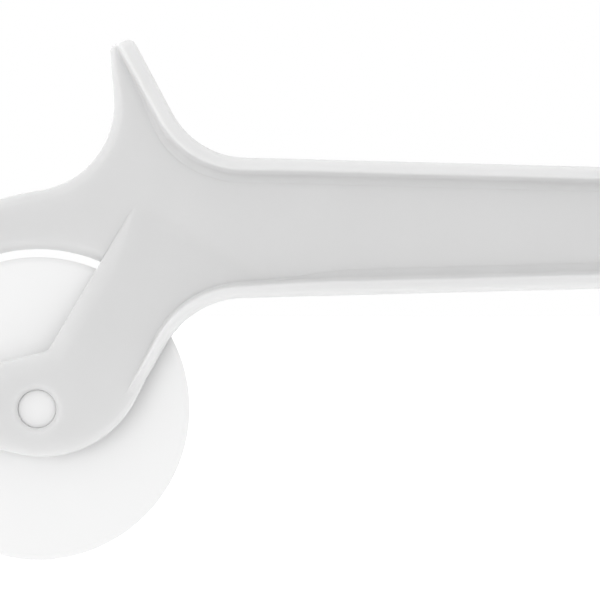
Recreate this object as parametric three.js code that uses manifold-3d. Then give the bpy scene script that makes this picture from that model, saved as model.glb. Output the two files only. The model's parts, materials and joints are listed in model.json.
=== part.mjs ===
// A plastic pizza cutter: a one-piece handle with a thumb horn, a wheel guard and a fork,
// a cutting wheel in the fork, and the pin that the wheel turns on.
// Millimetres, +Z up, +X from the wheel towards the end of the grip, Y along the axle.

import * as THREE from 'three';
import { mergeVertices } from 'three/addons/utils/BufferGeometryUtils.js';
import Module from 'manifold-3d';

const wasm = await Module();
wasm.setup();

const degree = Math.PI / 180;

// Wheel and pin
const wheelRadius = 33;
const wheelRootThickness = 3.2;
const wheelRimThickness = 1.4;
const wheelEdgeThickness = 0.5;
const wheelEdgeBevel = 1;
const wheelHubRadius = 8.5;
const wheelHubFlare = 2;
const hubSideClearance = 0.3;
const pinRadius = 3.78;
const pinClearance = 0.37;
const pinSeatGap = 0.2;
const pinRecess = 0.7;
const pinEdge = 0.5;
const pinDome = 0.15;

// Thicknesses of the moulding, across Y and in the side view
const gripWidth = 16;
const webThickness = 4.8;
const armWall = 3;
const slotSideClearance = 0.8;
const hornFlange = 3.3;
const topFlange = 2.6;
const endFlange = 2.9;
const bottomFlange = 3.2;
const armFlange = 2.3;

// Guard over the wheel
const guardGap = 1.75;
const guardDepth = 13.15;
const guardShift = 6;
const guardReach = 50 * degree;
const guardTipRadius = 3.5;

// Grip, a tapered bar whose axis is level
const gripRise = 6.4;
const gripStart = 46;
const gripLength = 101.3;
const gripStartDepth = 30.6;
const gripEndDepth = 25.3;
const gripCornerRadius = 9;
const neckRadius = 19.4;

// Thumb horn, from the level of the grip's top
const hornFront = 17.45;
const hornRootWidth = 17.05;
const hornRise = 24.5;
const hornFrontLean = 4.5 * degree;
const hornRearLean = 28 * degree;
const hornFrontRadius = 19.2;
const hornRearRadius = 18.4;
const tipSlope = 17 * degree;
const tipFrontRadius = 1.8;
const tipRearRadius = 1.6;

// Fork arms, measured from the axle
const armRise = 11.8;
const armRampLength = 37;
const armFrontReach = 5;
const armRearReach = 20.4;
const armFrontTilt = 30.3 * degree;
const armRearTilt = 28.6 * degree;
const armFrontRadius = 2;
const hubRadius = 23;
const toeTop = 12.06;
const toeBottom = 10.85;
const toeReach = 20.5;
const toeTaper = 14 * degree;
const toeTipRadius = 7;

// Facets in each rounded corner, and in a full turn
const cornerFacets = 5;
const roundFacets = 72;

// Levels and places that follow from the sizes above
const halfWidth = gripWidth / 2;
const halfWeb = webThickness / 2;
const wellRadius = wheelRadius + guardGap;
const guardRadius = wellRadius + guardDepth;
const guardCentre = new THREE.Vector2(guardShift, 0);
const gripLevel = wheelRadius + gripRise;
const gripTaper = Math.atan((gripStartDepth - gripEndDepth) / 2 / gripLength);
const gripEnd = gripStart + gripLength;
const hornBase = gripLevel + gripStartDepth / 2;
const axle = new THREE.Vector2(0, 0);

// Lines of the side view, in x and z. A line runs clockwise round the outline.
function line(x, z, angle) {
  return { at: new THREE.Vector2(x, z), along: new THREE.Vector2(Math.cos(angle), Math.sin(angle)) };
}

function meet(first, second) {
  const apart = second.at.clone().sub(first.at);
  const reach = apart.cross(second.along) / first.along.cross(second.along);
  return first.along.clone().multiplyScalar(reach).add(first.at);
}

function inset({ at, along }, distance) {
  const inwards = new THREE.Vector2(along.y, -along.x);
  return { at: inwards.multiplyScalar(distance).add(at), along };
}

const hornFrontLine = line(hornFront, hornBase, 90 * degree + hornFrontLean);
const tipFrontPoint = hornFrontLine.along.clone().multiplyScalar(hornRise).add(hornFrontLine.at);
const tipLine = line(tipFrontPoint.x, tipFrontPoint.y, tipSlope);
const hornRearLine = line(hornFront + hornRootWidth, hornBase, -90 * degree + hornRearLean);
const gripTopLine = line(gripStart, gripLevel + gripStartDepth / 2, -gripTaper);
const gripEndLine = line(gripEnd, gripLevel, -90 * degree);
const gripBottomLine = line(gripStart, gripLevel - gripStartDepth / 2, 180 * degree + gripTaper);
const armRearLine = line(armRearReach, 0, -90 * degree - armRearTilt);
const armFrontLine = line(-armFrontReach, 0, 90 * degree - armFrontTilt);
const toeLowerLine = line(0, -toeBottom, 180 * degree - toeTaper);
const toeTipLine = line(-toeReach, 0, 90 * degree);
const toeUpperLine = line(0, toeTop, toeTaper);

// Draws an outline through corners, each with its rounding radius, as a three.js shape.
function drawCorners(corners) {
  const shape = new THREE.Shape();
  corners.forEach(({ point, radius }, index) => {
    if (!radius) {
      if (index) shape.lineTo(point.x, point.y);
      else shape.moveTo(point.x, point.y);
      return;
    }
    const back = corners.at(index - 1).point.clone().sub(point).normalize();
    const on = corners[(index + 1) % corners.length].point.clone().sub(point).normalize();
    const half = Math.acos(back.dot(on)) / 2;
    const reach = radius / Math.tan(half);
    const centre = back.clone().add(on).setLength(radius / Math.sin(half)).add(point);
    const from = back.clone().multiplyScalar(reach).add(point).sub(centre).angle();
    const to = on.clone().multiplyScalar(reach).add(point).sub(centre).angle();
    shape.absarc(centre.x, centre.y, radius, from, to, back.cross(on) > 0);
  });
  return shape;
}

const sharp = (point) => ({ point, radius: 0 });
const round = (point, radius) => ({ point, radius });

// Solids: a closed geometry becomes a body that can be joined and cut.
function solid(geometry) {
  const bare = geometry.clone();
  bare.deleteAttribute('normal');
  bare.deleteAttribute('uv');
  const merged = mergeVertices(bare);
  return new wasm.Manifold(new wasm.Mesh({
    numProp: 3,
    vertProperties: merged.attributes.position.array,
    triVerts: Uint32Array.from(merged.index.array),
  }));
}

// A side-view shape as a plate of a given thickness, centred on the wheel's plane.
function plate(shape, thickness) {
  const geometry = new THREE.ExtrudeGeometry(shape, {
    depth: thickness,
    bevelEnabled: false,
    curveSegments: cornerFacets,
  });
  geometry.translate(0, 0, -thickness / 2);
  geometry.rotateX(90 * degree);
  return solid(geometry);
}

function disc(radius, length) {
  return solid(new THREE.CylinderGeometry(radius, radius, length, roundFacets));
}

// The fork's wedge: s runs down the arms from the top of the crease, square to it.
const creaseTop = meet(armFrontLine, line(0, wheelRadius + armRise, 0));
const downArm = armFrontLine.along.clone().negate();
const acrossArm = new THREE.Vector2(-downArm.y, downArm.x);
const armTopLine = { at: creaseTop, along: acrossArm };
const armLength = wheelRadius + armRise + toeReach + wellRadius;

function alongArm(profile, width) {
  const geometry = new THREE.ExtrudeGeometry(profile, { depth: width, bevelEnabled: false });
  geometry.translate(0, 0, -width / 2);
  const basis = new THREE.Matrix4().makeBasis(
    new THREE.Vector3(downArm.x, 0, downArm.y),
    new THREE.Vector3(0, 1, 0),
    new THREE.Vector3(acrossArm.x, 0, acrossArm.y),
  );
  basis.setPosition(creaseTop.x, 0, creaseTop.y);
  return solid(geometry.applyMatrix4(basis));
}

// A profile in s and y that widens down the ramp and then runs level.
function wedge(startHalf, endHalf) {
  return new THREE.Shape([
    new THREE.Vector2(0, -startHalf),
    new THREE.Vector2(armRampLength, -endHalf),
    new THREE.Vector2(armLength, -endHalf),
    new THREE.Vector2(armLength, endHalf),
    new THREE.Vector2(armRampLength, endHalf),
    new THREE.Vector2(0, startHalf),
  ]);
}

const slotHalf = halfWidth - armWall;
const slotStartHalf = Math.max(halfWeb - armWall, wheelRimThickness / 2 + slotSideClearance);

// The web: grip, horn and guard in the wheel's plane, with the wheel's well cut out of it.
function makeWeb() {
  const blendCentre = hornBlendCentre();
  const blendStart = guardCentre.clone().sub(blendCentre).angle();
  const blendEnd = -hornFrontLean;
  const hornFoot = new THREE.Vector2(Math.cos(blendEnd), Math.sin(blendEnd))
    .multiplyScalar(hornFrontRadius).add(blendCentre);
  const guardEndLine = line(0, 0, 90 * degree + guardReach);
  const guardTip = outermost(guardEndLine);
  const guardTurn = guardTip.clone().sub(guardCentre).angle();
  const guardTangent = new THREE.Vector2(Math.sin(guardTurn), -Math.cos(guardTurn));
  const shape = drawCorners([
    sharp(hornFoot),
    round(meet(hornFrontLine, tipLine), tipFrontRadius),
    round(meet(tipLine, hornRearLine), tipRearRadius),
    round(meet(hornRearLine, gripTopLine), hornRearRadius),
    round(meet(gripTopLine, gripEndLine), gripCornerRadius),
    round(meet(gripEndLine, gripBottomLine), gripCornerRadius),
    round(meet(gripBottomLine, armRearLine), neckRadius),
    sharp(armRearLine.at),
    sharp(axle),
    round(guardTip, guardTipRadius),
    sharp(guardTangent.multiplyScalar(guardTipRadius).add(guardTip)),
  ]);
  const guardStart = guardTurn - guardTipRadius / guardRadius;
  const guardStop = blendCentre.clone().sub(guardCentre).angle();
  shape.absarc(guardCentre.x, guardCentre.y, guardRadius, guardStart, guardStop, true);
  shape.absarc(blendCentre.x, blendCentre.y, hornFrontRadius, blendStart, blendEnd, false);
  return plate(shape, webThickness).subtract(wheelWell());
}

// The hollow between guard and horn touches the guard's arc and the horn's front line.
function hornBlendCentre() {
  const track = inset(hornFrontLine, -hornFrontRadius);
  const apart = track.at.clone().sub(guardCentre);
  const along = apart.dot(track.along);
  const reach = guardRadius + hornFrontRadius;
  const step = -along + Math.sqrt(along * along - apart.lengthSq() + reach * reach);
  return track.along.clone().multiplyScalar(step).add(track.at);
}

// Where a line from the axle leaves the guard's outer arc.
function outermost({ at, along }) {
  const apart = at.clone().sub(guardCentre);
  const lead = apart.dot(along);
  const step = -lead + Math.sqrt(lead * lead - apart.lengthSq() + guardRadius * guardRadius);
  return along.clone().multiplyScalar(step).add(at);
}

function wheelWell() {
  return disc(wellRadius, 2 * gripWidth);
}

// The flange: one wide band from the horn's tip, round the grip, to the foot of the arm's rear edge.
function makeFlange() {
  const hornInner = inset(hornRearLine, hornFlange);
  const topInner = inset(gripTopLine, topFlange);
  const endInner = inset(gripEndLine, endFlange);
  const bottomInner = inset(gripBottomLine, bottomFlange);
  const armInner = inset(armRearLine, armFlange);
  const rampFoot = downArm.clone().multiplyScalar(armRampLength).add(creaseTop);
  const footLine = { at: rampFoot, along: acrossArm };
  return plate(drawCorners([
    sharp(meet(tipLine, hornInner)),
    round(meet(tipLine, hornRearLine), tipRearRadius),
    round(meet(hornRearLine, gripTopLine), hornRearRadius),
    round(meet(gripTopLine, gripEndLine), gripCornerRadius),
    round(meet(gripEndLine, gripBottomLine), gripCornerRadius),
    round(meet(gripBottomLine, armRearLine), neckRadius),
    sharp(meet(armRearLine, footLine)),
    sharp(meet(armInner, footLine)),
    round(meet(bottomInner, armInner), neckRadius + armFlange),
    round(meet(endInner, bottomInner), gripCornerRadius - endFlange),
    round(meet(topInner, endInner), gripCornerRadius - endFlange),
    round(meet(hornInner, topInner), hornRearRadius + topFlange),
  ]), gripWidth);
}

// The two arms: one outline down to hub and toe, thickened by the wedge.
function makeArms() {
  const outline = plate(drawCorners([
    sharp(creaseTop),
    sharp(meet(armTopLine, gripBottomLine)),
    round(meet(gripBottomLine, armRearLine), neckRadius),
    round(meet(armRearLine, toeLowerLine), hubRadius),
    round(meet(toeLowerLine, toeTipLine), toeTipRadius),
    round(meet(toeTipLine, toeUpperLine), toeTipRadius),
    round(meet(toeUpperLine, armFrontLine), armFrontRadius),
  ]), gripWidth);
  return outline.intersect(alongArm(wedge(halfWeb, halfWidth), 2 * armLength));
}

function makeHandle() {
  const slot = wheelWell().intersect(alongArm(wedge(slotStartHalf, slotHalf), 2 * armLength));
  const hole = disc(pinRadius + pinClearance, 2 * gripWidth);
  return makeWeb().add(makeFlange()).add(makeArms()).subtract(slot).subtract(hole);
}

// The wheel: a hub as wide as the slot, a tapering disc and a bevelled edge.
function makeWheel() {
  const hubHalf = slotHalf - hubSideClearance;
  const bore = pinRadius + pinSeatGap;
  const upper = [
    [wheelRadius, wheelEdgeThickness / 2],
    [wheelRadius - wheelEdgeBevel, wheelRimThickness / 2],
    [wheelHubRadius + wheelHubFlare, wheelRootThickness / 2],
    [wheelHubRadius, hubHalf],
    [bore, hubHalf],
  ];
  const lower = upper.map(([radius, y]) => [radius, -y]).reverse();
  const profile = [...lower, ...upper, lower[0]];
  return new THREE.LatheGeometry(profile.map(([radius, y]) => new THREE.Vector2(radius, y)), roundFacets);
}

// The pin: its ends stand a little inside the arms' outer faces.
function makePin() {
  const end = halfWidth - pinRecess;
  const profile = [
    [0, -end],
    [pinRadius - pinEdge, pinDome - end],
    [pinRadius, pinDome + pinEdge - end],
    [pinRadius, end - pinEdge - pinDome],
    [pinRadius - pinEdge, end - pinDome],
    [0, end],
  ];
  return new THREE.LatheGeometry(profile.map(([radius, y]) => new THREE.Vector2(radius, y)), roundFacets);
}

function geometryOf(manifold) {
  const { vertProperties, triVerts } = manifold.getMesh();
  const geometry = new THREE.BufferGeometry();
  geometry.setAttribute('position', new THREE.BufferAttribute(vertProperties, 3));
  geometry.setIndex(new THREE.BufferAttribute(triVerts, 1));
  geometry.computeVertexNormals();
  return geometry;
}

const handlePlastic = new THREE.MeshStandardMaterial({ color: 0xdadada, roughness: 0.42, metalness: 0 });
const wheelPlastic = new THREE.MeshStandardMaterial({ color: 0xf4f4f3, roughness: 0.38, metalness: 0 });
const pinPlastic = new THREE.MeshStandardMaterial({ color: 0xf0f0ef, roughness: 0.38, metalness: 0 });

function named(name, geometry, material) {
  const mesh = new THREE.Mesh(geometry, material);
  mesh.name = name;
  return mesh;
}

// The pieces stand round the axle; the whole cutter stands on the lowest point of its wheel,
// with the middle of its length over the origin.
const cutter = new THREE.Group();
cutter.add(named('handle_body', geometryOf(makeHandle()), handlePlastic));
cutter.add(named('cutting_wheel', makeWheel(), wheelPlastic));
cutter.add(named('axle_pin', makePin(), pinPlastic));
const extent = new THREE.Box3().setFromObject(cutter);
cutter.position.set(-(extent.min.x + extent.max.x) / 2, 0, -extent.min.z);

const group = new THREE.Group();
group.add(cutter);
export default group;
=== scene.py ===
# %% [markdown]
# # A plastic pizza cutter
# The cutter is three mouldings: a handle that is grip, thumb horn, wheel guard and fork in one,
# a wheel that turns in the fork, and the pin through both. The CAD frame fixes where they are and
# how big they are. Its solids could simply be given a colour, but their edges are sharp, and a
# moulding is known by its soft ones. So each piece is modelled again inside the same outline, with
# rounded rims, fillets, a rolled hub, and the soft grey-white of satin plastic.

# %% Load the frame
import json
import math

import bmesh
import bpy
from mathutils import Matrix, Vector


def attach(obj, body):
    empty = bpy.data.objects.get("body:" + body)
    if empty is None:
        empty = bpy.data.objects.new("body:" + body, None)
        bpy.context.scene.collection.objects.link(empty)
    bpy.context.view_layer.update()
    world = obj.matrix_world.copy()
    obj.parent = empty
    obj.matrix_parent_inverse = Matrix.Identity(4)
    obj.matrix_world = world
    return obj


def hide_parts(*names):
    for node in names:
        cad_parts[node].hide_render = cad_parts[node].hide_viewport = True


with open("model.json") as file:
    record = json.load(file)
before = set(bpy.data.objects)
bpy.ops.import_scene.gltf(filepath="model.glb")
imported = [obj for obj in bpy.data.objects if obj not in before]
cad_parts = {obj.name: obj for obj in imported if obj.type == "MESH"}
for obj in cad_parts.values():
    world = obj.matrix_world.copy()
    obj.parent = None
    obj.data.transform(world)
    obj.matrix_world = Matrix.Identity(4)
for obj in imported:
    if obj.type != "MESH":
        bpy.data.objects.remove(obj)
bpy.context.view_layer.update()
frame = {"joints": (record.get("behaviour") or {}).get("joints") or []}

MM = 0.001
AXLE = Vector(frame["joints"][0]["pos_m"])
print("axle at", [round(c / MM, 2) for c in AXLE], "mm")

# %% [markdown]
# ## Camera
# The photograph looks square at the side of the cutter, and near and far edges of the grip line up,
# so it was taken with a long lens. A wide lens close by would show the inside of the rims. The frame
# is 131 mm wide at the wheel's plane and cuts off both ends of the cutter.

# %% Camera
PHOTO_WIDTH = 130.95 * MM
PHOTO_MIDDLE = AXLE + Vector((57.14, 0, 23.66)) * MM
LENS = 400
SENSOR = 36
FAR_CLIP = 50
DISTANCE = PHOTO_WIDTH * LENS / SENSOR
camera_data = bpy.data.cameras.new("photo_camera")
camera_data.lens = LENS
camera_data.sensor_width = SENSOR
camera_data.clip_end = FAR_CLIP
camera = bpy.data.objects.new("photo_camera", camera_data)
bpy.context.scene.collection.objects.link(camera)
camera.location = PHOTO_MIDDLE - Vector((0, DISTANCE, 0))
camera.rotation_euler = (math.radians(90), 0, 0)
bpy.context.scene.camera = camera
print("camera", round(DISTANCE, 3), "m from the wheel's plane")


# %% [markdown]
# ## Lines of the side view
# The real handle was drawn with straight lines and round corners, so its outline is a short list of
# lines. It could be a traced curve with dozens of points, but then no length in it would have a
# meaning. A line has a point and a direction, in millimetres from the axle, and runs clockwise round
# the handle, so the plastic is always on its right. Corners are where two lines meet.

# %% Lines and corners
def line(x, z, degrees):
    angle = math.radians(degrees)
    return Vector((x, z)), Vector((math.cos(angle), math.sin(angle)))


def meet(first, second):
    (at, along), (other, other_along) = first, second
    return at + along * ((other - at).cross(other_along) / along.cross(other_along))


def inset(edge, distance):
    at, along = edge
    return at + Vector((along.y, -along.x)) * distance, along


GRIP_DEPTH_FRONT = 30.6
GRIP_DEPTH_END = 25.3
GRIP_LENGTH = 101.3
GRIP_TAPER = math.degrees(math.atan((GRIP_DEPTH_FRONT - GRIP_DEPTH_END) / 2 / GRIP_LENGTH))
HORN_RISE = 24.45
HORN_FRONT = line(17.45, 54.7, 94.5)
tip_front = HORN_FRONT[0] + HORN_FRONT[1] * HORN_RISE
HORN_TIP = line(tip_front.x, tip_front.y, 17)
HORN_REAR = line(34.5, 54.7, -62)
GRIP_TOP = line(46, 54.7, -GRIP_TAPER)
GRIP_END = line(147.3, 39.4, -90)
GRIP_BOTTOM = line(46, 24.1, 180 + GRIP_TAPER)
ARM_REAR = line(20.4, 0, -118.6)
ARM_FRONT = line(-5, 0, 59.7)
TOE_LOWER = line(0, -10.85, 166)
TOE_TIP = line(-20.5, 0, 90)
TOE_UPPER = line(0, 12.06, 14)
print("horn tip at", [round(c, 1) for c in meet(HORN_TIP, HORN_REAR)], "mm from the axle")

# %% [markdown]
# A path through corners is walked in small steps: arcs every few degrees, straight runs in steps of
# a few millimetres. A curve object could do that too, but it would not tell which way is out. Here
# each step keeps its outward direction, because rims and round edges grow square to the outline.

# %% Walk a path round its corners
ARC_STEP = 4.0
STRAIGHT_STEP = 4.0


def heading(vector):
    return math.degrees(math.atan2(vector.y, vector.x))


def arc(centre, radius, start, turn):
    """Points and outward directions on an arc in degrees; a negative turn is a convex corner."""
    steps = max(2, round(abs(turn) / ARC_STEP))
    walk = []
    for k in range(steps + 1):
        angle = math.radians(start + turn * k / steps)
        ray = Vector((math.cos(angle), math.sin(angle)))
        walk.append((centre + ray * radius, ray if turn < 0 else -ray))
    return walk


def straight(start, stop):
    """Points between two ends, without them."""
    along = stop - start
    steps = max(1, round(along.length / STRAIGHT_STEP))
    out = Vector((-along.y, along.x)).normalized()
    return [(start + along * (k / steps), out) for k in range(1, steps)]


def corner_arc(before, point, after, radius):
    back = (before - point).normalized()
    on = (after - point).normalized()
    half = back.angle(on) / 2
    centre = point + (back + on).normalized() * (radius / math.sin(half))
    start = heading(point + back * (radius / math.tan(half)) - centre)
    turn = 180 - math.degrees(2 * half)
    return arc(centre, radius, start, -turn if back.cross(on) > 0 else turn)


def walk_corners(corners, closed=False):
    """Walks corners of (point, radius); the ends of an open walk stay sharp."""
    points = [point for point, _ in corners]
    walk = []
    for k, (point, radius) in enumerate(corners):
        if radius:
            stretch = corner_arc(points[k - 1], point, points[(k + 1) % len(points)], radius)
        else:
            along = points[k + 1] - point if k == 0 else point - points[k - 1]
            stretch = [(point, Vector((-along.y, along.x)).normalized())]
        if walk:
            walk += straight(walk[-1][0], stretch[0][0])
        walk += stretch
    if closed:
        walk += straight(walk[-1][0], walk[0][0])
    return walk


print("a square corner is walked through", len(arc(Vector((0, 0)), 1, 90, -90)), "points")


# %% [markdown]
# ## Moulded shapes from a wrapped sheet
# Every part of the handle is either a section swept along a path or a plate with rounded edges.
# Extruding would keep one section all the way, and beveling one radius, but here both change as they
# go. So each is one sheet of cells wrapped into a tube and closed at its ends: `create_grid` makes
# the cells, a rule moves each corner to its place, and merging doubles closes the seam.

# %% Wrap a sheet into a closed moulding
SEAM = 0.001
HALF_SHEET = 0.5


def wrapped(rings):
    """A closed bmesh through rings of points, in mm from the axle."""
    stations, ring = len(rings), len(rings[0])
    mesh = bmesh.new()
    bmesh.ops.create_grid(mesh, x_segments=stations - 1, y_segments=ring, size=HALF_SHEET)
    for vertex in mesh.verts:
        i = round((vertex.co.x + HALF_SHEET) * (stations - 1))
        j = round((vertex.co.y + HALF_SHEET) * ring) % ring
        vertex.co = rings[i][j]
    bmesh.ops.remove_doubles(mesh, verts=mesh.verts, dist=SEAM)
    bmesh.ops.holes_fill(mesh, edges=[edge for edge in mesh.edges if edge.is_boundary], sides=0)
    bmesh.ops.recalc_face_normals(mesh, faces=mesh.faces)
    return mesh


def as_object(mesh, name):
    """Puts a bmesh in millimetres from the axle into the frame, in metres."""
    bmesh.ops.scale(mesh, vec=(MM, MM, MM), verts=mesh.verts)
    bmesh.ops.translate(mesh, vec=AXLE, verts=mesh.verts)
    data = bpy.data.meshes.new(name)
    mesh.to_mesh(data)
    mesh.free()
    made = bpy.data.objects.new(name, data)
    bpy.context.scene.collection.objects.link(made)
    print(name, len(data.polygons), "faces")
    return made


# %% [markdown]
# ## Ramp of the fork
# The two arms leave the web at a crease under the horn and spread until the wheel fits between them.
# Their outer faces rise along a straight ramp and level out by the hub, in one soft bend. Each arm
# could be a flat plate that is bent afterwards, but flange, arms and slot all have to follow the same
# bend. So the rule is written once, by the distance down the arm, and they all ask it.

# %% Ramp of the fork
HALF_WIDTH = 8.0
HALF_WEB = 2.4
HUB_FACE = 7.9
RAMP_LENGTH = 37
RAMP_RISE = (HALF_WIDTH - HALF_WEB) / RAMP_LENGTH
RAMP_SOFT = 8.0
CREASE_LEVEL = 44.8
ARM_WALL = [(20, 3.3), (37, 2.9)]
INNERMOST = 0.4
crease_top = meet(ARM_FRONT, line(0, CREASE_LEVEL, 0))
down_arm = -ARM_FRONT[1]


def eased(places, at):
    """A value that moves smoothly between (place, value) pairs."""
    for (low, start), (high, stop) in zip(places, places[1:]):
        if at <= high:
            share = min(1, max(0, (at - low) / (high - low)))
            return start + (stop - start) * share * share * (3 - 2 * share)
    return places[-1][1]


def along_arm(point):
    return (point - crease_top).dot(down_arm)


def arm_face(s):
    """Level of an arm's outer face, at a distance down the arm."""
    bend = (HUB_FACE - HALF_WEB) / RAMP_RISE
    if s >= bend + RAMP_SOFT:
        return HUB_FACE
    level = HALF_WEB + RAMP_RISE * s
    past = max(0, s - bend + RAMP_SOFT)
    return level - RAMP_RISE * past ** 2 / (4 * RAMP_SOFT)


def arm_inside(s):
    """Level of its inner face; both arms stop short of the middle, inside the web."""
    return max(INNERMOST, arm_face(s) - eased(ARM_WALL, s))


print("arm face", [round(arm_face(s), 2) for s in (0, 20, 37, 50)], "mm from the middle")

# %% [markdown]
# ## Flange
# The rim of the grip is one band: it starts at the tip of the thumb horn, runs down its back, round
# the grip and under the neck, and sinks into the back of the fork. Across its 16 mm width the outer
# face is slightly crowned for the hand and the rims are rounded. The inner face leans a little, so
# that the moulding leaves its tool, and a fillet runs it into the web. A plain extruded strip would
# look stamped, so the section is written out and then swept.

# %% Flange section
CROWN = 0.6
RIM_OUTER = 1.1
RIM_INNER = 0.9
DRAFT = 0.6
ROUND_STEPS = 6
CROWN_STEPS = 5
# Where the band sinks into the arm there is less room, and the rounds shrink with it.
LEAST_ROOM = 0.1
LEAST_RIM = 0.4
RIM_SHARE = 0.35
FILLET_SHARE = 0.45
FOOT_SUNK = 0.3


def quarter(k):
    angle = math.pi / 2 * k / ROUND_STEPS
    return math.cos(angle), math.sin(angle)


def crown(y):
    return -CROWN * (y / HALF_WIDTH) ** 2


def flange_section(thickness, half_width, base, shrink, fillet):
    """The band's closed section as (outward, across), over a face at the level of its base."""
    room = max(half_width - base, LEAST_ROOM)
    inner = min(RIM_INNER, RIM_SHARE * room, thickness - RIM_OUTER - CROWN)
    fillet = min(fillet, FILLET_SHARE * room)
    outer = max(RIM_OUTER - shrink / 2, LEAST_RIM)
    foot = half_width - room
    edge = half_width - outer
    side = []
    for k in range(CROWN_STEPS):
        y = edge * k / CROWN_STEPS
        side.append((crown(y) - shrink, y))
    for k in range(ROUND_STEPS + 1):
        c, s = quarter(k)
        side.append((crown(edge) - shrink - outer + outer * c, edge + outer * s))
    for k in range(ROUND_STEPS + 1):
        c, s = quarter(k)
        side.append((-thickness + inner * (1 - s), half_width - inner * (1 - c)))
    root = -thickness - DRAFT * room / (HALF_WIDTH - HALF_WEB) - fillet
    for k in range(ROUND_STEPS):
        c, s = quarter(k)
        side.append((root + fillet * c, foot + fillet * (1 - s)))
    side.append((root, foot - FOOT_SUNK))
    side.append((root, 0.0))
    return side + [(n, -y) for n, y in reversed(side[1:-1])]


plain = flange_section(thickness=3, half_width=HALF_WIDTH, base=HALF_WEB, shrink=0, fillet=1)
print("a section has", len(plain), "points")

# %% [markdown]
# The band's thickness is written at a few places along its length and eased between them: 3.3 mm on
# the horn, 2.85 mm on top of the grip, 3.2 mm below it and 2.3 mm at the foot. At the horn's tip its
# end leans with the tip, and its corners are rounded off by narrowing the last sections, because a
# bevel there would have no even edge to follow. On the fork the rim sinks under the face of the arm,
# which rises to meet it, and the fillet fades out at the neck so that the two don't cross.

# %% Flange sweep
TIP_CORNER = 3.0
TIP_STEPS = 8
TIP_EDGE = 1.2
TIP_INNER = 0.6
TIP_LEAN = math.tan(math.radians(11))
HORN_ROOT_RADIUS = 18.4
GRIP_CORNER = 9.0
NECK_RADIUS = 19.4
# Pairs of a place and the value there, in mm. These places count from the horn's tip.
THICKNESS = [(0, 3.4), (20, 3.3), (45, 2.85), (135, 2.85), (165, 3.2)]
TIP_FILLET = [(5, 0.6), (30, 2.6)]
# These count back from the band's foot.
FOOT_THICKNESS = [(55, 3.2), (30, 2.6), (0, 2.3)]
# These count from the crease down the arm, and the fillet fades between two of them.
FLANGE_FOOT = 44.0
RIM_SUNK = [(28, 0), (FLANGE_FOOT, 0.7)]
RIM_NARROWED = [(22, 0), (38, 0.36), (FLANGE_FOOT, 0.7)]
FILLET_FADES = (-8, 4)
FILLET_FADED = 0.4
# The arm's face is asked a little ahead, so that the band's foot stays inside it.
BASE_AHEAD = 1


def rounded_off(distance, radius):
    """How far a round corner of this radius has fallen away, at a distance from its end."""
    if distance >= radius:
        return 0.0
    return radius - math.sqrt(radius ** 2 - (radius - distance) ** 2)


def distances(walk):
    travelled = [0.0]
    for (here, _), (there, _) in zip(walk, walk[1:]):
        travelled.append(travelled[-1] + (there - here).length)
    return travelled


def flange_walk():
    walk = walk_corners([
        (meet(HORN_TIP, HORN_REAR), 0),
        (meet(HORN_REAR, GRIP_TOP), HORN_ROOT_RADIUS),
        (meet(GRIP_TOP, GRIP_END), GRIP_CORNER),
        (meet(GRIP_END, GRIP_BOTTOM), GRIP_CORNER),
        (meet(GRIP_BOTTOM, ARM_REAR), NECK_RADIUS),
        (ARM_REAR[0], 0),
    ])
    start, out = walk[0]
    turns = [math.pi / 2 * k / TIP_STEPS for k in range(TIP_STEPS + 1)]
    close = [(start + HORN_REAR[1] * (TIP_CORNER * (1 - math.cos(turn))), out) for turn in turns]
    return close + walk[1:]


def flange_rings(walk):
    travelled = distances(walk)
    length = travelled[-1]
    thickness = THICKNESS + [(length - left, value) for left, value in FOOT_THICKNESS]
    rings = []
    for (point, out), distance in zip(walk, travelled):
        on_arm = along_arm(point) if distance > length / 2 else -math.inf
        sunk = eased(RIM_SUNK, on_arm)
        shrink = rounded_off(distance, TIP_EDGE)
        fade_start, fade_stop = FILLET_FADES
        fillet = eased([(fade_start, eased(TIP_FILLET, distance)), (fade_stop, FILLET_FADED)], on_arm)
        half_width = HALF_WIDTH - rounded_off(distance, TIP_CORNER) - eased(RIM_NARROWED, on_arm)
        thick = eased(thickness, distance) - rounded_off(distance, TIP_INNER)
        base = max(HALF_WEB, arm_face(on_arm + BASE_AHEAD)) if on_arm > 0 else HALF_WEB
        lean = TIP_LEAN * eased([(0, 1), (2 * TIP_CORNER, 0)], distance)
        along = Vector((out.y, -out.x))
        ring = []
        for n, y in flange_section(thick, half_width, base, shrink, fillet):
            place = point + out * (n - sunk) + along * (lean * n)
            ring.append((place.x, y, place.y))
        rings.append(ring)
    return rings


flange_steps = [step for step in flange_walk() if along_arm(step[0]) < FLANGE_FOOT]
flange = as_object(wrapped(flange_rings(flange_steps)), "flange")

# %% [markdown]
# ## Web
# Grip, horn and guard are one 4.8 mm plate in the wheel's plane. Its free edges, on the horn's front
# and all round the guard, are fully rounded. Under the flange its edge is hidden, so the outline is
# drawn a little inside the band there. Drawing it with arcs keeps the guard's two curves true: the
# inner one is round the axle and the outer one is round a point 6 mm behind it.

# %% Web outline
HIDDEN = 0.5
WELL = 34.75
GUARD_MIDDLE = Vector((6, 0))
GUARD_RADIUS = 47.9
GUARD_REACH = 50.0
HORN_HOLLOW = 19.2
WEB_CORNER = 2.5
TIP_FRONT_CORNER = 1.2
TIP_SUNK = 0.15
AXIS = Vector((0, 0))


def guard_ray(degrees):
    """A direction forward of upright, and the distance of the guard's outer arc along it."""
    ray = Vector((-math.sin(math.radians(degrees)), math.cos(math.radians(degrees))))
    lead = GUARD_MIDDLE.dot(ray)
    return ray, lead + math.sqrt(lead ** 2 - GUARD_MIDDLE.length_squared + GUARD_RADIUS ** 2)


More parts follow.
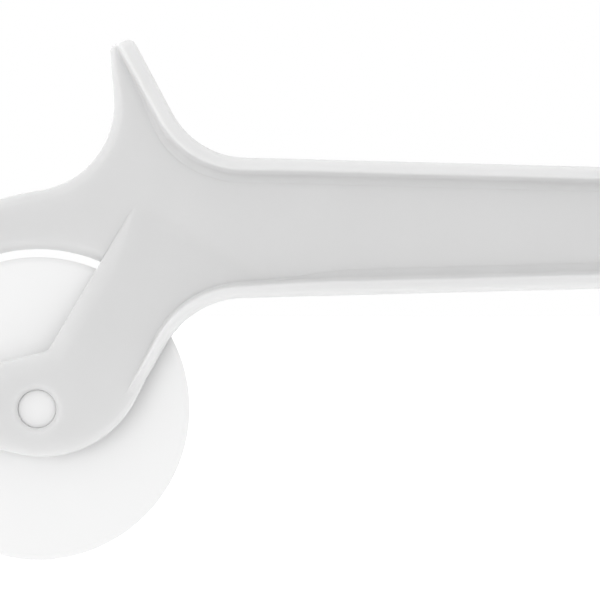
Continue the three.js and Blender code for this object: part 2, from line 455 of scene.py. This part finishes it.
def guard_tip():
    """The round end of the guard, from its inner arc to its outer one."""
    half = (guard_ray(GUARD_REACH)[1] - WELL) / 2
    ray, outer = guard_ray(GUARD_REACH - math.degrees(half / (WELL + half)))
    half = (outer - WELL) / 2
    return arc(ray * (WELL + half), half, heading(-ray), -180)


def on_line(edge, middle, reach):
    """The point along a line where it is a given distance past a middle."""
    at, along = edge
    apart = at - middle
    lead = apart.dot(along)
    return at + along * (math.sqrt(lead ** 2 - apart.length_squared + reach ** 2) - lead)


def between(centre, radius, start, stop):
    """An arc between two points that lie on it, the short way round."""
    first, last = heading(start - centre), heading(stop - centre)
    return arc(centre, radius, first, (last - first + 180) % 360 - 180)


def square_to(edge):
    return Vector((-edge[1].y, edge[1].x))


def circles_meet(middle, radius, reach):
    """The upper point that is a radius from the axle and a reach from another middle."""
    apart = middle.length
    along = (radius ** 2 - reach ** 2 + apart ** 2) / (2 * apart)
    ray = middle / apart
    return ray * along + Vector((-ray.y, ray.x)) * math.sqrt(radius ** 2 - along ** 2)


def web_outline():
    horn, top = inset(HORN_REAR, HIDDEN), inset(GRIP_TOP, HIDDEN)
    end, bottom = inset(GRIP_END, HIDDEN), inset(GRIP_BOTTOM, HIDDEN)
    guard_end, horn_tip = guard_tip(), inset(HORN_TIP, TIP_SUNK)
    hollow = on_line(inset(HORN_FRONT, -HORN_HOLLOW), GUARD_MIDDLE, GUARD_RADIUS + HORN_HOLLOW)
    touch = GUARD_MIDDLE + (hollow - GUARD_MIDDLE).normalized() * GUARD_RADIUS
    foot = hollow - square_to(HORN_FRONT) * HORN_HOLLOW
    neck = meet(inset(GRIP_BOTTOM, -NECK_RADIUS), inset(ARM_REAR, -NECK_RADIUS))
    neck_radius = NECK_RADIUS + HIDDEN
    neck_start = neck - square_to(GRIP_BOTTOM) * neck_radius
    heel = circles_meet(neck, WELL + WEB_CORNER, neck_radius + WEB_CORNER)
    heel_start = neck + (heel - neck).normalized() * neck_radius
    heel_stop = heel.normalized() * WELL
    walk = walk_corners([
        (foot, 0),
        (meet(HORN_FRONT, horn_tip), TIP_FRONT_CORNER),
        (meet(horn_tip, horn), WEB_CORNER),
        (meet(horn, top), HORN_ROOT_RADIUS + HIDDEN),
        (meet(top, end), GRIP_CORNER - HIDDEN),
        (meet(end, bottom), GRIP_CORNER - HIDDEN),
        (neck_start, 0),
    ])
    walk += between(neck, neck_radius, neck_start, heel_start)[1:]
    walk += between(heel, WEB_CORNER, heel_start, heel_stop)[1:]
    walk += between(AXIS, WELL, heel_stop, guard_end[0][0])[1:]
    walk += guard_end[1:]
    walk += between(GUARD_MIDDLE, GUARD_RADIUS, guard_end[-1][0], touch)[1:]
    walk += between(hollow, HORN_HOLLOW, touch, foot)[1:-1]
    return walk


outline = web_outline()
print("the web's outline has", len(outline), "points")

# %% [markdown]
# The plate could be extruded and beveled, but a bevel as wide as half the plate runs into itself at
# the tight corner of the horn's tip. So the outline is repeated at levels across the plate, each
# drawn in as far as a round edge asks, and near the tip less far.

# %% Web plate
# How much of the full round the edge has, by the distance from the horn's front corner.
TIP_ROUND = [(2, 0.45), (14, 1)]


def web_rings():
    rounds = [quarter(k) for k in range(ROUND_STEPS + 1)]
    edge = [(HALF_WEB * (1 - s), HALF_WEB * c) for c, s in rounds]
    levels = edge + [(depth, -y) for depth, y in reversed(edge[:-1])]
    rings = []
    for depth, y in levels:
        ring = []
        for point, out in outline:
            place = point - out * depth * eased(TIP_ROUND, (point - tip_front).length)
            ring.append((place.x, y, place.y))
        rings.append(ring)
    return rings


web = as_object(wrapped(web_rings()), "web")

# %% [markdown]
# ## Arms of the fork
# Each arm is a 3 mm plate from the crease down to the hub and its toe. Its edges are not alike: the
# front edge is rolled over, the hub's underside is a broad soft roll, and the back is a small round
# under the flange. A bevel has one width, so the roll is written by the direction that the edge
# faces, in degrees clockwise from the rear, and eased between. Near the crease it grows with the
# arm's height over the web, because there is nothing to roll before the arm stands out.

# %% Arm outline
ARM_HIDDEN = 0.5
ARM_EMERGES = [(24, ARM_HIDDEN), (40, 0)]
ARM_START = 4.0
ARM_SPAN = 34.0
HIDDEN_CORNER = 2.5
HUB_RADIUS = 23.0
TOE_RADIUS = 7.0
ARM_FRONT_RADIUS = 2.0


def arm_outline():
    across = Vector((-down_arm.y, down_arm.x))
    top = crease_top - down_arm * ARM_START
    shoulder = top + across * ARM_SPAN
    under = inset(GRIP_BOTTOM, ARM_HIDDEN)
    walk = walk_corners([
        (top, HIDDEN_CORNER),
        (shoulder, HIDDEN_CORNER),
        (meet((shoulder, Vector((0, -1))), under), HIDDEN_CORNER),
        (meet(under, ARM_REAR), NECK_RADIUS + ARM_HIDDEN),
        (meet(ARM_REAR, TOE_LOWER), HUB_RADIUS),
        (meet(TOE_LOWER, TOE_TIP), TOE_RADIUS),
        (meet(TOE_TIP, TOE_UPPER), TOE_RADIUS),
        (meet(TOE_UPPER, ARM_FRONT), ARM_FRONT_RADIUS),
    ], closed=True)
    moved = []
    for point, out in walk:
        rear = out.x > 0
        hidden = eased(ARM_EMERGES, along_arm(point)) if rear else 0
        moved.append((point - out * hidden, out))
    return moved


arm_edge = arm_outline()
print("an arm's outline has", len(arm_edge), "points")

# %% Arm plates
INSIDE_EDGE = 0.4
INSIDE_ROOM = 1.3 * INSIDE_EDGE
ROLL_STEPS = 8
ROLL_SUNK = 0.25
ROLL_WIDTH = [(28, 1.2), (45, 1.6), (104, 6.4), (150, 4.5), (200, 4.2), (260, 4.2)]
ROLL_DROP = [(28, 1.2), (45, 1.4), (104, 2.4), (150, 2.4), (200, 2.3), (260, 2.3)]
# The web hides the edges that face up, and the flange those that face the rear near the crease.
HIDDEN_ROLL = 0.8
FACES_UP = 280
FACES_REAR = 150
REAR_HIDDEN = 30
CUTS = 40
CUT_STEP = 2
ON_CUT = 0.0001


def arm_roll(point, out):
    """Width and drop of the rolled edge, by the way it faces; small where web or flange hide it."""
    turned = -heading(out) % 360
    s = along_arm(point)
    if turned > FACES_UP or (turned < FACES_REAR and s < REAR_HIDDEN):
        return HIDDEN_ROLL, HIDDEN_ROLL
    width, full = eased(ROLL_WIDTH, turned), eased(ROLL_DROP, turned)
    stands_out = max(0, arm_face(s) - HALF_WEB) + ROLL_SUNK
    drop = min(full, stands_out, arm_face(s) - arm_inside(s) - INSIDE_ROOM)
    return width * min(1, stands_out / full), drop


def arm_rings(side):
    rings = []
    for depth in (INSIDE_EDGE, 0):
        ring = []
        for point, out in arm_edge:
            place = point - out * depth
            level = arm_inside(along_arm(place)) + INSIDE_EDGE - depth
            ring.append((place.x, side * level, place.y))
        rings.append(ring)
    for k in range(ROLL_STEPS + 1):
        angle = math.pi / 2 * k / ROLL_STEPS
        ring = []
        for point, out in arm_edge:
            width, drop = arm_roll(point, out)
            place = point - out * (width * (1 - math.cos(angle)))
            level = arm_face(along_arm(place)) - drop * (1 - math.sin(angle))
            ring.append((place.x, side * level, place.y))
        rings.append(ring)
    return rings


def cut_across(mesh):
    """Cuts a plate into strips across the arm, so that it can follow the ramp."""
    for k in range(CUTS):
        cut = crease_top + down_arm * (CUT_STEP * k)
        parts = list(mesh.verts) + list(mesh.edges) + list(mesh.faces)
        bmesh.ops.bisect_plane(mesh, geom=parts, dist=ON_CUT, plane_co=(cut.x, 0, cut.y),
                               plane_no=(down_arm.x, 0, down_arm.y))


def make_arm(side, name):
    mesh = wrapped(arm_rings(side))
    cut_across(mesh)
    return as_object(mesh, name)


near_arm = make_arm(-1, "near_arm")
far_arm = make_arm(1, "far_arm")


# %% [markdown]
# ## Slot and bore
# Two rooms are cut out of the handle. The wheel runs in a slot between the arms, where the flange
# would otherwise close it: a disc as wide as the wheel's well, whose faces follow the arms' inner
# faces. The pin runs in a bore with rounded mouths, which shade softly where a plain drilled hole
# would have a hard ring. The mouth's arc ends a few degrees short of the arm's face and leaves it on
# a slope, because two surfaces that only touch are hard to cut cleanly.

# %% Slot and bore
SLOT_LIP = 0.15
SLOT_SIDES = 180
SLOT_BLANK = 2
BORE = 4.15
BORE_SIDES = 96
BORE_MOUTH = 1.4
MOUTH_STEPS = 8
MOUTH_SLOPE = math.radians(12)
MOUTH_SUNK = 0.03
LIP = 0.8
PAST_FACE = 1
ON_AXLE = 0.0005


def spun(profile, name, steps):
    """A ring-shaped or solid piece round the axle, from its half section as (radius, y)."""
    mesh = bmesh.new()
    corners = [mesh.verts.new((radius, y, 0)) for radius, y in profile]
    edges = [mesh.edges.new(pair) for pair in zip(corners, corners[1:])]
    bmesh.ops.spin(mesh, geom=corners + edges, cent=(0, 0, 0), axis=(0, 1, 0), angle=math.tau,
                   steps=steps, use_merge=True)
    bmesh.ops.remove_doubles(mesh, verts=mesh.verts, dist=ON_AXLE)
    bmesh.ops.recalc_face_normals(mesh, faces=mesh.faces)
    return as_object(mesh, name)


def mirrored(half):
    """The lower half of a section, walked up to where the upper half starts."""
    return [(radius, -y) for radius, y in reversed(half)]


def wheel_slot():
    mesh = bmesh.new()
    bmesh.ops.create_cone(mesh, cap_ends=True, segments=SLOT_SIDES, radius1=WELL, radius2=WELL,
                          depth=SLOT_BLANK)
    upright = Matrix.Rotation(math.pi / 2, 3, "X")
    bmesh.ops.rotate(mesh, verts=mesh.verts, cent=(0, 0, 0), matrix=upright)
    cut_across(mesh)
    for vertex in mesh.verts:
        s = along_arm(Vector((vertex.co.x, vertex.co.z)))
        vertex.co.y = math.copysign(arm_inside(s) - SLOT_LIP, vertex.co.y)
    return as_object(mesh, "wheel_slot")


def bore_half():
    turn = math.pi / 2 - MOUTH_SLOPE
    half = []
    for k in range(MOUTH_STEPS + 1):
        angle = turn * k / MOUTH_STEPS
        below = BORE_MOUTH * (math.sin(turn) - math.sin(angle))
        half.append((BORE + BORE_MOUTH * (1 - math.cos(angle)), HUB_FACE - MOUTH_SUNK - below))
    radius, y = half[-1]
    half.append((radius + LIP, y + LIP * math.tan(MOUTH_SLOPE)))
    return half + [(radius + LIP, HUB_FACE + PAST_FACE), (0, HUB_FACE + PAST_FACE)]


slot = wheel_slot()
bore = spun(mirrored(bore_half()) + bore_half(), "bore", BORE_SIDES)


# %% [markdown]
# ## Join the mouldings
# On the real handle all of this is one shot of plastic. Shapes that only overlap would look much the
# same, but light that wanders inside the plastic would stop at their hidden walls. So the Boolean
# modifier makes one closed mesh of the four, after the slot is cut and before the bore is.

# %% Join and cut
def combine(target, tool, operation):
    """Applies one Boolean to the target and removes the tool."""
    cut = target.modifiers.new(operation.lower(), "BOOLEAN")
    cut.operation = operation
    cut.solver = "EXACT"
    cut.object = tool
    shown = target.evaluated_get(bpy.context.evaluated_depsgraph_get())
    made = bpy.data.meshes.new_from_object(shown)
    target.modifiers.clear()
    target.data = made
    bpy.data.objects.remove(tool)
    print(operation.lower(), len(made.polygons), "faces")


combine(flange, slot, "DIFFERENCE")
combine(web, flange, "UNION")
combine(web, near_arm, "UNION")
combine(web, far_arm, "UNION")
combine(web, bore, "DIFFERENCE")
handle = web
handle.name = "handle_moulding"

# %% [markdown]
# ## Wheel and pin
# The wheel thins from its hub to a rim 1.4 mm thick, with a short bevel to a blunt edge. The pin's
# ends are nearly flat and stand 1.8 mm inside the arms' faces, where they lie in soft shade. Both
# could be cylinders with bevels, but they are turned shapes, so each is a half section, as radius and
# height over the middle in millimetres, that `spin` carries round the axle.

# %% Wheel and pin
WHEEL_SIDES = 180
PIN_SIDES = 96
wheel_half = [
    (33, 0.08), (32.96, 0.2), (32.85, 0.3), (32.3, 0.58), (32.0, 0.7), (31.6, 0.75),
    (12, 1.55), (10.5, 1.65), (9.4, 2.1), (8.8, 2.9), (8.5, 4.2), (8.35, 4.55), (8.0, 4.7),
    (4.3, 4.7), (3.98, 4.3),
]
pin_half = [
    (4.12, 5.2), (4.12, 6.08), (4.06, 6.13), (3.9, 6.15),
    (3.4, 6.15), (2.6, 6.13), (1.5, 6.11), (0, 6.1),
]
wheel_lower = mirrored(wheel_half)
wheel = spun(wheel_lower + wheel_half + wheel_lower[:1], "wheel_moulding", WHEEL_SIDES)
pin = spun(mirrored(pin_half) + pin_half, "pin_moulding", PIN_SIDES)

# %% [markdown]
# ## Shading
# The mouldings have flat facets so far. More facets would hide that at a cost, and smooth shading
# alone would smear the flat faces. So they are smoothed except at edges sharper than 32 degrees, and
# weighted normals keep the flat faces flat and the rolls round.

# %% Shading
SHARP = math.radians(32)
for piece in (handle, wheel, pin):
    piece.data.shade_smooth()
    piece.data.set_sharp_from_angle(angle=SHARP)
    weighted = piece.modifiers.new("weighted_normals", "WEIGHTED_NORMAL")
    weighted.keep_sharp = True
    print(piece.name, sum(edge.use_edge_sharp for edge in piece.data.edges), "sharp edges")


# %% [markdown]
# ## Materials
# Polypropylene and acetal mouldings are pale, with a satin skin from the tool's fine spark finish.
# One flat colour would look like paint. In these, light goes in and comes out some way off, the
# colour wanders by a hair, the roughness a little more, and the skin has a fine grain. The patterns
# are noise in real millimetres, so they lie still on the piece when it turns.

# %% Colours and nodes
def linear(hex_colour):
    """An sRGB hex colour as linear RGBA."""
    channels = [int(hex_colour[k:k + 2], 16) / 255 for k in (1, 3, 5)]
    return [c / 12.92 if c <= 0.04045 else ((c + 0.055) / 1.055) ** 2.4 for c in channels] + [1]


def add(tree, kind, sockets=(), **settings):
    """Adds one node with its settings; each socket gets a constant or another node's output."""
    node = tree.nodes.new(kind)
    for name, value in settings.items():
        setattr(node, name, value)
    for socket, source in sockets:
        if isinstance(source, bpy.types.NodeSocket):
            tree.links.new(source, node.inputs[socket])
        else:
            node.inputs[socket].default_value = source
    return node


print("the handle's grey is", round(linear("#DBDBDB")[0], 3), "of white light")

# %% Plastics
PLASTIC_IOR = 1.49
# Plastic cools in broad clouds a hair apart in tone, and hands rub it in patches.
FLOW_SIZE = 18 * MM
FLOW_DETAIL = 2.0
RUB_SIZE = 5 * MM
RUB_DETAIL = 3.0
SMOOTHER = 0.05
ROUGHER = 0.07
# The grain of a spark-eroded tool is near 0.1 mm, too fine to show, so it is drawn coarser.
GRAIN_DETAIL = 2.0
GRAIN_DEPTH = 0.03 * MM
GRAIN_STRENGTH = 0.25


def moulded_plastic(name, colour, shade, roughness, scatter, depth, grain):
    """A satin moulding; depth is how far light wanders in it, and grain the size of its texture."""
    material = bpy.data.materials.new(name)
    material.use_nodes = True
    tree = material.node_tree
    skin = tree.nodes["Principled BSDF"]
    skin.inputs["IOR"].default_value = PLASTIC_IOR
    skin.inputs["Subsurface Weight"].default_value = scatter
    skin.inputs["Subsurface Radius"].default_value = (1, 1, 1)
    skin.inputs["Subsurface Scale"].default_value = depth
    place = ("Vector", add(tree, "ShaderNodeTexCoord").outputs["Object"])
    flow = add(tree, "ShaderNodeTexNoise", [place, ("Scale", 1 / FLOW_SIZE), ("Detail", FLOW_DETAIL)])
    tint = add(tree, "ShaderNodeValToRGB", [("Fac", flow.outputs["Fac"])])
    tint.color_ramp.elements[0].color = linear(shade)
    tint.color_ramp.elements[1].color = linear(colour)
    tree.links.new(tint.outputs["Color"], skin.inputs["Base Color"])
    rub = add(tree, "ShaderNodeTexNoise", [place, ("Scale", 1 / RUB_SIZE), ("Detail", RUB_DETAIL)])
    satin = add(tree, "ShaderNodeMapRange", [("Value", rub.outputs["Fac"]),
                                             ("To Min", roughness - SMOOTHER),
                                             ("To Max", roughness + ROUGHER)])
    tree.links.new(satin.outputs["Result"], skin.inputs["Roughness"])
    spark = add(tree, "ShaderNodeTexNoise", [place, ("Scale", 1 / grain), ("Detail", GRAIN_DETAIL)])
    bumps = add(tree, "ShaderNodeBump", [("Height", spark.outputs["Fac"]),
                                         ("Strength", GRAIN_STRENGTH),
                                         ("Distance", GRAIN_DEPTH)])
    tree.links.new(bumps.outputs["Normal"], skin.inputs["Normal"])
    return material


# Grey polypropylene: thin rims glow, because light wanders a few millimetres through it.
HANDLE_PLASTIC = moulded_plastic("moulded_polypropylene_grey", colour="#DBDBDB", shade="#D7D7D7",
                                 roughness=0.42, scatter=1.0, depth=3.2 * MM, grain=0.5 * MM)
# White polypropylene: a polished tool leaves the wheel smoother and whiter than the handle.
WHEEL_PLASTIC = moulded_plastic("moulded_polypropylene_white", colour="#F0F0F0", shade="#EDEDED",
                                roughness=0.38, scatter=0.25, depth=4.0 * MM, grain=0.7 * MM)
# Acetal: a dense white with a waxy gloss.
PIN_PLASTIC = moulded_plastic("moulded_acetal_white", colour="#F3F3F3", shade="#F0F0F0",
                              roughness=0.36, scatter=0.5, depth=3.2 * MM, grain=0.6 * MM)
for piece, plastic in ((handle, HANDLE_PLASTIC), (wheel, WHEEL_PLASTIC), (pin, PIN_PLASTIC)):
    piece.data.materials.clear()
    piece.data.materials.append(plastic)
    print(piece.name, "is", plastic.name)

# %% [markdown]
# ## Light
# The cutter was shot in a white tent: light comes from all round, and the edges that face the tent's
# sides, in the plane of the cutter, are the brightest. Lamps close by could do it, but they would
# fall off along the grip. A world colour that is even and grows towards that plane lights the whole
# length alike. Eye and mirror see it as plain white.

# %% World
TENT_BASE = 0.8
TENT_SIDE = 0.81
SIDE_FOCUS = 4
WHITE = (1, 1, 1, 1)


def seen_by_eye(tree):
    """1 for rays that carry a picture, straight or in a reflection, and 0 for those that light."""
    rays = add(tree, "ShaderNodeLightPath").outputs
    direct = add(tree, "ShaderNodeMath", [(0, rays["Is Camera Ray"]), (1, rays["Is Glossy Ray"])],
                 operation="MAXIMUM")
    seen = add(tree, "ShaderNodeMath", [(0, direct.outputs[0]), (1, rays["Is Transmission Ray"])],
               operation="MAXIMUM")
    return seen.outputs[0]


def make_world():
    world = bpy.data.worlds.new("white_tent")
    bpy.context.scene.world = world
    world.use_nodes = True
    tree = world.node_tree
    tent = tree.nodes["Background"]
    tent.inputs["Color"].default_value = WHITE
    place = add(tree, "ShaderNodeTexCoord")
    axes = add(tree, "ShaderNodeSeparateXYZ", [("Vector", place.outputs["Generated"])])
    facing = add(tree, "ShaderNodeMath", [(0, axes.outputs["Y"])], operation="ABSOLUTE")
    edge_on = add(tree, "ShaderNodeMath", [(0, 1), (1, facing.outputs[0])], operation="SUBTRACT")
    band = add(tree, "ShaderNodeMath", [(0, edge_on.outputs[0]), (1, SIDE_FOCUS)], operation="POWER")
    level = add(tree, "ShaderNodeMath", [(0, band.outputs[0]), (1, TENT_SIDE), (2, TENT_BASE)],
                operation="MULTIPLY_ADD")
    # Sockets 0, 2 and 3 are the share, the tent's light and the white that the eye sees.
    strength = add(tree, "ShaderNodeMix", [(0, seen_by_eye(tree)), (2, level.outputs[0]), (3, 1)],
                   data_type="FLOAT")
    tree.links.new(strength.outputs[0], tent.inputs["Strength"])


make_world()
bpy.context.scene.view_settings.view_transform = "Standard"
print("the tent lights with", TENT_BASE, "and up to", TENT_BASE + TENT_SIDE, "at its sides")

# %% [markdown]
# ## Softboxes
# Two wide softboxes stand on the left, one in front and one behind, and give the light its side:
# edges that face left are a little brighter. An area lamp near the cutter would light one end of it
# more than the other. A sun with a wide disc lights all of it alike, with shadows as soft.

# %% Softboxes
KEY_LEVEL = 0.585
KEY_WIDTH = math.radians(40)
FRONT_LEFT = Vector((-0.35, -0.93, 0.1))
BACK_LEFT = Vector((-0.35, 0.93, 0.1))


def softbox(name, towards):
    """A wide lamp so far off that it lights the whole cutter alike; towards points at it."""
    lamp_data = bpy.data.lights.new(name, "SUN")
    lamp_data.energy = KEY_LEVEL
    lamp_data.angle = KEY_WIDTH
    lamp = bpy.data.objects.new(name, lamp_data)
    bpy.context.scene.collection.objects.link(lamp)
    lamp.rotation_euler = towards.to_track_quat("Z", "Y").to_euler()
    print(name, "lights with", KEY_LEVEL)


softbox("front_left", FRONT_LEFT)
softbox("back_left", BACK_LEFT)

# %% [markdown]
# ## Floor
# The cutter stands on a sheet of white paper so wide that its edge never shows. Plain paper would
# throw light up at the cutter and block the tent from below, and the photograph has light from there
# too. So the paper is there for eye and mirror only, and the tent's light passes through it.

# %% Floor
FLOOR_SIZE = 20.0
PAPER_ROUGHNESS = 0.9
PAPER_SHINE = 0.2
PAPER_GLOW = 0.12


def white_paper():
    """Matt paper that reads as white; a little glow lifts what the shadow takes."""
    paper = bpy.data.materials.new("white_paper")
    paper.use_nodes = True
    tree = paper.node_tree
    sheet = tree.nodes["Principled BSDF"]
    sheet.inputs["Base Color"].default_value = linear("#FCFCFC")
    sheet.inputs["Roughness"].default_value = PAPER_ROUGHNESS
    sheet.inputs["Specular IOR Level"].default_value = PAPER_SHINE
    sheet.inputs["Emission Color"].default_value = WHITE
    sheet.inputs["Emission Strength"].default_value = PAPER_GLOW
    through = add(tree, "ShaderNodeBsdfTransparent").outputs[0]
    shown = add(tree, "ShaderNodeMixShader", [(0, seen_by_eye(tree)), (1, through), (2, sheet.outputs[0])])
    tree.links.new(shown.outputs[0], tree.nodes["Material Output"].inputs["Surface"])
    return paper


mesh = bmesh.new()
bmesh.ops.create_grid(mesh, x_segments=1, y_segments=1, size=FLOOR_SIZE)
floor_data = bpy.data.meshes.new("floor")
mesh.to_mesh(floor_data)
mesh.free()
floor_data.materials.append(white_paper())
floor = bpy.data.objects.new("floor", floor_data)
bpy.context.scene.collection.objects.link(floor)
print("floor", 2 * FLOOR_SIZE, "m wide")

# %% [markdown]
# ## Hand over
# Each moulding takes the place of one solid and rides on the body that carries that solid. The pin
# rides with the wheel, because it is fixed in it and turns in the arms.

# %% Hand over
for piece, body, node, slot_name in ((handle, "handle", "handle_body", "handle_plastic"),
                                     (wheel, "wheel", "cutting_wheel", "wheel_plastic"),
                                     (pin, "wheel", "axle_pin", "pin_plastic")):
    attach(piece, body)
    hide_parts(node)
    print(piece.name, "rides on", body, "for", node)
